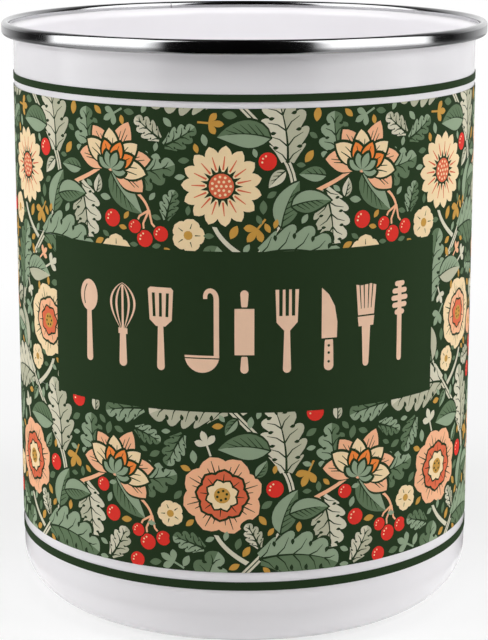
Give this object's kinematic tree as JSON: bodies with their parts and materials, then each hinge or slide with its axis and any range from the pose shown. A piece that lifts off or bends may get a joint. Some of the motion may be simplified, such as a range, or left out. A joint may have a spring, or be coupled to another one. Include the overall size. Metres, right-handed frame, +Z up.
{
  "type": "utensil holder",
  "caption": "Round enamelled steel utensil holder with a wrapped floral print, a plain label panel and a polished rolled rim trim.",
  "frame": {"origin": "on the table, under the middle of the base", "axes": "+Z up along the axis of the pot, -Y towards the label"},
  "size_m": [0.127, 0.127, 0.1539],
  "materials": {
    "steel": "pressed sheet, covered by the enamel",
    "white_enamel": "glossy white vitreous enamel",
    "polished_trim": "polished stainless strip",
    "green_print": "dark green fired print, satin",
    "floral_print": "fired floral print on a dark green ground, satin"
  },
  "bodies": {
    "root": {"steel_body": "steel", "outer_enamel": "white_enamel", "inner_enamel": "white_enamel", "rim_trim": "polished_trim", "lower_stripe": "green_print", "pattern_band": "floral_print", "label_panel": "green_print", "upper_stripe": "green_print"}
  },
  "joints": []
}
